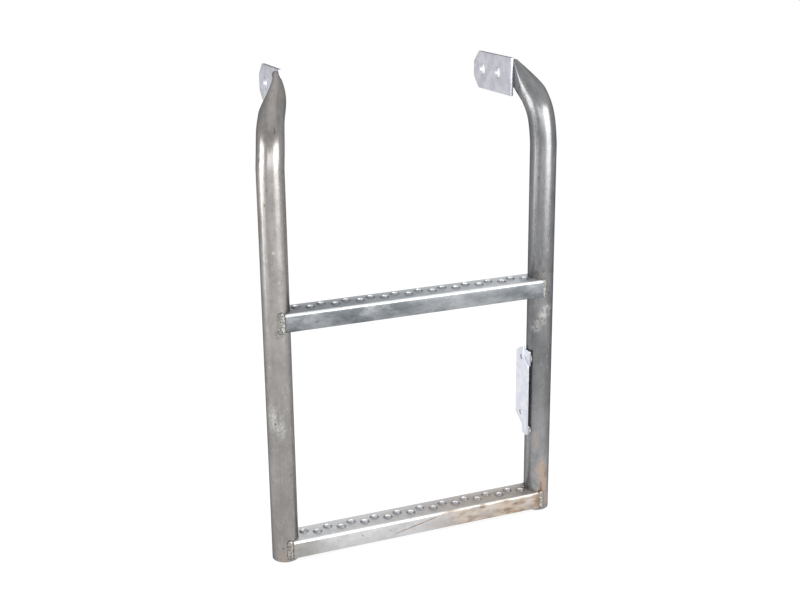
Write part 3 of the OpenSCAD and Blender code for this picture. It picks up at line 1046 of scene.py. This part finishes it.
@dataclass
class Tread:
    """Channel between the stiles: a top with raised holes and two folded flanges."""

    level: Level
    half_depth: float = 19.55
    fold: float = 4.0
    lip_r: float = 0.5
    half_length: float = 175.0
    cope_r: float = 17.05
    hole_pitch: float = 32.4
    holes: int = 10
    row_gap: float = 7.2
    columns: int = 140
    turns: int = 44
    cope_steps: int = 26
    fold_steps: int = 9
    lip_steps: int = 4

    @staticmethod
    def _collar() -> np.ndarray:
        """Radius and height of a raised hole, from the tread's top over the rim and down the bore."""
        up = [(6.7, 0.0), (6.25, 0.05), (5.85, 0.22), (5.5, 0.55), (5.1, 1.05), (4.8, 1.5),
              (4.5, 1.85), (4.1, 2.06), (3.75, 2.1), (3.4, 2.02), (3.15, 1.8), (3.0, 1.45)]
        down = [(3.0, 0.2), (3.0, -0.9), (3.2, -1.35), (3.9, -1.8), (4.6, -2.25), (5.1, -LAYOUT.tread_sheet)]
        return np.array(up + down)

    def _flange(self) -> np.ndarray:
        """Front flange as distance back and height, from the top down, round the lip and up inside."""
        y, t, r, lip, low = self.half_depth, LAYOUT.tread_sheet, self.fold, self.lip_r, -LAYOUT.flange_h
        a = np.linspace(0.0, np.pi / 2, self.fold_steps)
        b = np.linspace(0.0, np.pi / 2, self.lip_steps)
        c = a[::-1]
        outer = np.column_stack([-(y - r) - r * np.sin(a), -r + r * np.cos(a)])
        lip_out = np.column_stack([-y + lip * (1 - np.cos(b)), low + lip * (1 - np.sin(b))])
        lip_in = np.column_stack([-y + t - lip * (1 - np.sin(b)), low + lip * (1 - np.cos(b))])
        inner = np.column_stack([-(y - r) - (r - t) * np.sin(c), -r + (r - t) * np.cos(c)])
        return np.concatenate([outer, lip_out, lip_in, inner])

    def _add(self, shell: Shell, points: np.ndarray, smooth: bool = True) -> None:
        """Adds a surface that is away from the holes, moved to the tread's place."""
        shell.grid(self._placed(points), smooth=smooth, wrap=self._away(points.size // 3))

    def _top(self, shell: Shell, x: np.ndarray) -> None:
        """Adds the top between the folds, with its raised holes and its ends round the stiles."""
        inner_y, half = self.half_depth - self.fold, LAYOUT.half_spacing
        start = math.asin(inner_y / self.cope_r)
        a = np.linspace(-start, start, self.cope_steps)[1:-1]
        right = np.column_stack([half - self.cope_r * np.cos(a), self.cope_r * np.sin(a)])
        front = np.column_stack([x, np.full(len(x), -inner_y)])
        rear = np.column_stack([x[::-1], np.full(len(x), inner_y)])
        outline = np.concatenate([front, right, rear, -right])
        profile, centres = self._collar(), self._centres()
        for radius, z in ((profile[0, 0], 0.0), (profile[-1, 0], -LAYOUT.tread_sheet)):
            flat, triangles = filled(outline, [circle(self.turns, radius, c) for c in centres])
            shell.patch(self._placed(laid(flat, z)), triangles, smooth=False, wrap=self._away(len(flat)))
        radii = np.repeat(profile[:, :1], self.turns, axis=0) * [1.0, 0.0, 0.0]
        for centre in centres:
            rings = np.stack([laid(circle(self.turns, r, centre), z) for r, z in profile])
            shell.grid(self._placed(rings), around=True, wrap=radii)
        for end in ((front[-1:], right, rear[:1]), (rear[-1:], -right, front[:1])):
            end = np.concatenate(end)
            self._add(shell, np.stack([laid(end, z) for z in (0.0, -LAYOUT.tread_sheet)]))

    def _flanges(self, shell: Shell, x: np.ndarray) -> None:
        """Adds the front and the rear flange with their closed ends."""
        inner_y, section = self.half_depth - self.fold, self._flange()
        columns = np.concatenate([[-self.half_length], x, [self.half_length]])
        for sign in (1, -1):
            sweep = np.stack([stood(section * [sign, 1], c) for c in columns])
            self._add(shell, sweep)
            for loop in (sweep[0], sweep[-1]):
                shell.lid(self._placed(loop), self._away(len(loop)))
            for pair in (columns[:2], columns[-2:]):
                wall = [[[c, -sign * inner_y, z] for c in pair] for z in (0.0, -LAYOUT.tread_sheet)]
                self._add(shell, np.array(wall), smooth=False)

    def build(self, material: bpy.types.Material) -> None:
        """Makes the channel in one closed mesh."""
        shell = Shell()
        inner_y = self.half_depth - self.fold
        notch = LAYOUT.half_spacing - math.sqrt(self.cope_r ** 2 - inner_y ** 2)
        x = np.linspace(-notch, notch, self.columns)
        self._top(shell, x)
        self._flanges(shell, x)
        name = self.level.value
        shell.object(f"{name}_tread_channel", material, [f"{name}_tread"])

    def _centres(self) -> list[tuple[float, float]]:
        """Middles of the raised holes: two staggered rows, the rear one starting on the left."""
        length = (self.holes - 0.5) * self.hole_pitch
        return [((i + row / 2) * self.hole_pitch - length / 2, (1 - 2 * row) * self.row_gap / 2)
                for row in (0, 1) for i in range(self.holes)]

    @staticmethod
    def _away(count: int) -> np.ndarray:
        """Wrap attribute of points that are away from the holes."""
        return np.full((count, 3), NO_HOLE)

    def _placed(self, points: np.ndarray) -> np.ndarray:
        """Moves points from the tread's middle to its place."""
        middle = (LAYOUT.left_x + LAYOUT.right_x) / 2
        return points + np.array([middle, LAYOUT.stile_y, LAYOUT.tread_z(self.level)])


@dataclass
class Bracket:
    """Small drilled plate on two lugs against the inner side of the right stile."""

    foot: float = 111.0
    length: float = 123.0
    width: float = 32.0
    lead: float = 10.0
    sheet: float = 2.5
    sunk: float = 0.4
    edge: float = 0.35
    corner: float = 0.9
    fall: float = 10.0
    tail_w: float = 13.5
    tail_h: float = 12.0
    lug_w: float = 12.5
    lug_h: float = 26.0
    hole_r: float = 3.25
    hole_up: float = 27.0
    hole_gap: float = 79.0
    hole_in: float = 14.0

    def build(self, material: bpy.types.Material) -> None:
        """Makes the plate and its two lugs."""
        length, low = self.length, self.length - self.lug_h
        outline = np.array([[0, 0], [self.tail_w, 0], [self.tail_w, self.tail_h],
                            [self.width, 2 * self.tail_h], [self.width, length - self.fall],
                            [self.lug_w, length], [self.lug_w, low + self.lug_w], [0, low]])
        lug_w, lug_top = self.lug_w + self.sheet / 2, length - self.fall / 2
        lug = np.array([[0, low], [lug_w, low], [lug_w, lug_top], [0, lug_top]])
        tail = np.array([[0, 0], [self.tail_w, 0], [self.tail_w, self.tail_h], [0, self.tail_h]])
        shift = np.array([LAYOUT.stile_y - self.lead, LAYOUT.foot_z + self.foot])
        back, up = shift + [self.width - self.hole_in, self.hole_up]
        holes = [(back, up + rise, self.hole_r) for rise in (0.0, self.hole_gap)]
        outer = LAYOUT.lug_x - self.sheet
        shell = Shell()
        for shape, drilled, span in ((outline, holes, (outer - self.sheet, outer)),
                                     (lug, [], (outer - self.sunk, LAYOUT.lug_x)),
                                     (tail, [], (outer - self.sunk, LAYOUT.lug_x))):
            Plate(shape + shift, drilled, *span, self.edge, self.corner).add_to(shell)
        shell.object("side_bracket_plate", material, ["side_bracket"])


@dataclass(frozen=True)
class Bead:
    """One run of weld metal: a closed sausage with ripples and lumps.

    Its middle runs straight from one point to the other and sways a little to one side. Its radius
    is the size times the square root of 1 - |2u - 1|^7 at the share u of its length, times a core
    with arched ripples and seeded lumps on it.
    """

    name: str
    node: str | None
    start: tuple[float, float, float]
    end: tuple[float, float, float]
    size: float
    seed: int
    flat: float = 1.0
    pitch: float = 2.3
    core: float = 0.86
    ripple: float = 0.15
    past: float = 0.75
    sway: float = 0.12
    rings: int = 84
    turns: int = 44

    def build(self, material: bpy.types.Material) -> None:
        """Makes the bead."""
        a, b = np.array(self.start), np.array(self.end)
        length = np.linalg.norm(b - a)
        t = (b - a) / length
        side = np.cross(t, [0.0, 1.0, 0.0]) if abs(t[1]) < 0.9 else np.array([1.0, 0.0, 0.0])
        side /= np.linalg.norm(side)
        out = np.cross(side, t) * self.flat
        u = np.linspace(0.0, 1.0, self.rings)[:, None]
        v = np.linspace(0.0, 2 * np.pi, self.turns + 1)[None, :-1]
        cap = np.sqrt(np.clip(1 - np.abs(2 * u - 1) ** 7, 0.0, 1.0))
        reach = length / 2 + self.size * self.past
        bent = 0.55 * np.cos(v) + 0.25 * ridge(v, 3 * u, self.seed + 50)
        wave = np.abs(np.sin(np.pi * (u * 2 * reach / self.pitch + bent)))
        lumps = 0.10 * ridge(v, 9 * u, self.seed) + 0.05 * ridge(3 * v, 25 * u, self.seed + 9)
        radius = self.size * cap * (self.core + self.ripple * wave + lumps)
        drift = self.sway * self.size * ridge(0 * v, 6 * u, self.seed + 21)
        middle = (a + b) / 2 + (2 * u[..., None] - 1) * reach * t
        points = middle + (radius * np.cos(v) + drift)[..., None] * side
        points = points + (radius * np.sin(v))[..., None] * out
        shell = Shell()
        shell.grid(points[1:-1], around=True)
        for row in (points[1], points[-2]):
            shell.lid(row)
        shell.object(self.name, material, [self.node] if self.node else [])


@dataclass
class Welds:
    """All the beads, and the spatter they left."""

    beads: list[Bead] = field(default_factory=list)
    sunk: float = 0.6
    drops: int = 7
    drop_seed: int = 11
    drop_below: float = 11.0
    drop_rise: float = 17.0
    drop_turn: float = 0.5
    drop_size: tuple[float, float] = (0.35, 0.8)

    def _plan(self) -> None:
        """Lists the beads at the flange ends, on the lower tread, at the lugs and at the tabs."""
        self._plan_flanges()
        # On the lower tread, round the inner rear quarter of the right stile
        quarter = LAYOUT.tube_d / 2 * 0.78
        x, y, z = LAYOUT.right_x - quarter, LAYOUT.stile_y + quarter, LAYOUT.lower_z + self.sunk
        self._list("lower_right_top_weld", (x - 5, y - 9, z), (x + 7, y + 2, z), 3.4, 31)
        # In front of the bracket's two lugs, at their heights above the foot
        x, y = LAYOUT.lug_x + self.sunk, LAYOUT.stile_y - 8
        for name, up in (("bracket_lower_weld", 114.0), ("bracket_upper_weld", 215.5)):
            z = LAYOUT.foot_z + up
            self._list(name, (x, y, z), (x, y, z + 6.0), 2.2, 41)
        # On the outer faces of the tab plates, behind the ends of the tubes
        outer = LAYOUT.tab_sheet + self.sunk
        for side, x in ((Side.LEFT, LAYOUT.left_x + LAYOUT.right_x - outer), (Side.RIGHT, outer)):
            y = LAYOUT.stile_y + LAYOUT.tab_front(side) + 6.4
            name, seed = f"{side.word}_tab_weld", 61 + side.value
            self._list(name, (x, y, -12.0), (x, y, 18.0), 2.6, seed, packed=False)

    def _plan_flanges(self) -> None:
        """Lists the upright beads where the flanges' ends meet the stiles."""
        # Size of the beads, and how far the front one lies to the right of the stile's axis
        sizes = {(Level.UPPER, Side.LEFT): (5.0, 1.4), (Level.UPPER, Side.RIGHT): (3.6, -4.2),
                 (Level.LOWER, Side.LEFT): (4.3, 1.4), (Level.LOWER, Side.RIGHT): (4.3, -2.0)}
        seed = 3
        for (level, side), (size, shift) in sizes.items():
            z = LAYOUT.tread_z(level)
            for place, sign, aside in (("front", 1, shift), ("rear", -1, -side.value * 2.5)):
                x = LAYOUT.stile_x(side) + aside
                y = LAYOUT.stile_y - sign * (LAYOUT.tube_d / 2 + 0.4)
                start, end = (x, y, z - 1.2), (x, y, z - LAYOUT.flange_h + 1.4)
                self._list(f"{level.value}_{side.word}_{place}_weld", start, end, size, seed, 0.8)
                seed += 1

    def _list(self, name: str, start: tuple, end: tuple, size: float, seed: int,
              flat: float = 1.0, packed: bool = True) -> None:
        """Lists one bead; a packed one stands for the node of its name."""
        self.beads.append(Bead(f"{name}_bead", name if packed else None, start, end, size, seed, flat))

    def build(self, material: bpy.types.Material) -> None:
        """Makes the beads and the spatter."""
        self._plan()
        for bead in self.beads:
            bead.build(material)
        self._spatter(material)

    def _spatter(self, material: bpy.types.Material) -> None:
        """Small drops on the tubes near the flange welds: half-sunk balls at seeded places.

        A drop's angle from the front and its height are drawn from normal spreads.
        """
        rng = np.random.default_rng(self.drop_seed)
        shell = Shell()
        meridians, levels = 8, 7
        v = np.linspace(0.0, 2 * np.pi, meridians + 1)[None, :-1]
        u = np.linspace(-np.pi / 2, np.pi / 2, levels)[1:-1, None]
        ball = np.stack([np.cos(u) * np.cos(v), np.cos(u) * np.sin(v), np.sin(u) + 0 * v], axis=-1)
        r = LAYOUT.tube_d / 2
        places = [(level, side) for level in Level for side in Side for _ in range(self.drops)]
        for level, side in places:
            angle = rng.normal(0.0, self.drop_turn)
            z = LAYOUT.tread_z(level) - self.drop_below + rng.normal(0.0, self.drop_rise)
            # Drops that would lie behind the left bead or below the foot move round towards -X
            if (side is Side.LEFT and angle > 0.1) or z < LAYOUT.foot_z + 3:
                angle, z = -abs(angle) - 0.4, max(z, LAYOUT.foot_z + 4)
            size = rng.uniform(*self.drop_size)
            centre = [LAYOUT.stile_x(side) + r * math.sin(angle), LAYOUT.stile_y - r * math.cos(angle), z]
            points = np.array(centre) + size * ball
            shell.grid(points, around=True)
            for row in (points[0], points[-1]):
                shell.lid(row)
        shell.object("weld_spatter", material)


class Step:
    """The whole cab step: its finishes and its pieces in order."""

    def build(self) -> None:
        """Makes every piece."""
        for side in Side:
            Stile(side).build(TubeZinc(side).build(f"zinc_{side.word}_tube"))
        tab = TabZinc().build("zinc_tab")
        for side in Side:
            TabPlate(side).build(tab)
        for level in Level:
            Tread(level).build(TreadZinc(level).build(f"zinc_{level.value}_tread"))
        Bracket().build(BracketZinc().build("zinc_bracket"))
        Welds().build(WeldMetal().build("weld_metal_rough"))


def main() -> None:
    """Builds the studio and the step."""
    logging.basicConfig(level=logging.INFO, format="%(name)s: %(message)s")
    bpy.context.scene.view_settings.view_transform = "Standard"
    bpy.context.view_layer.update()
    Studio().build()
    Step().build()


if __name__ == "__main__":
    main()
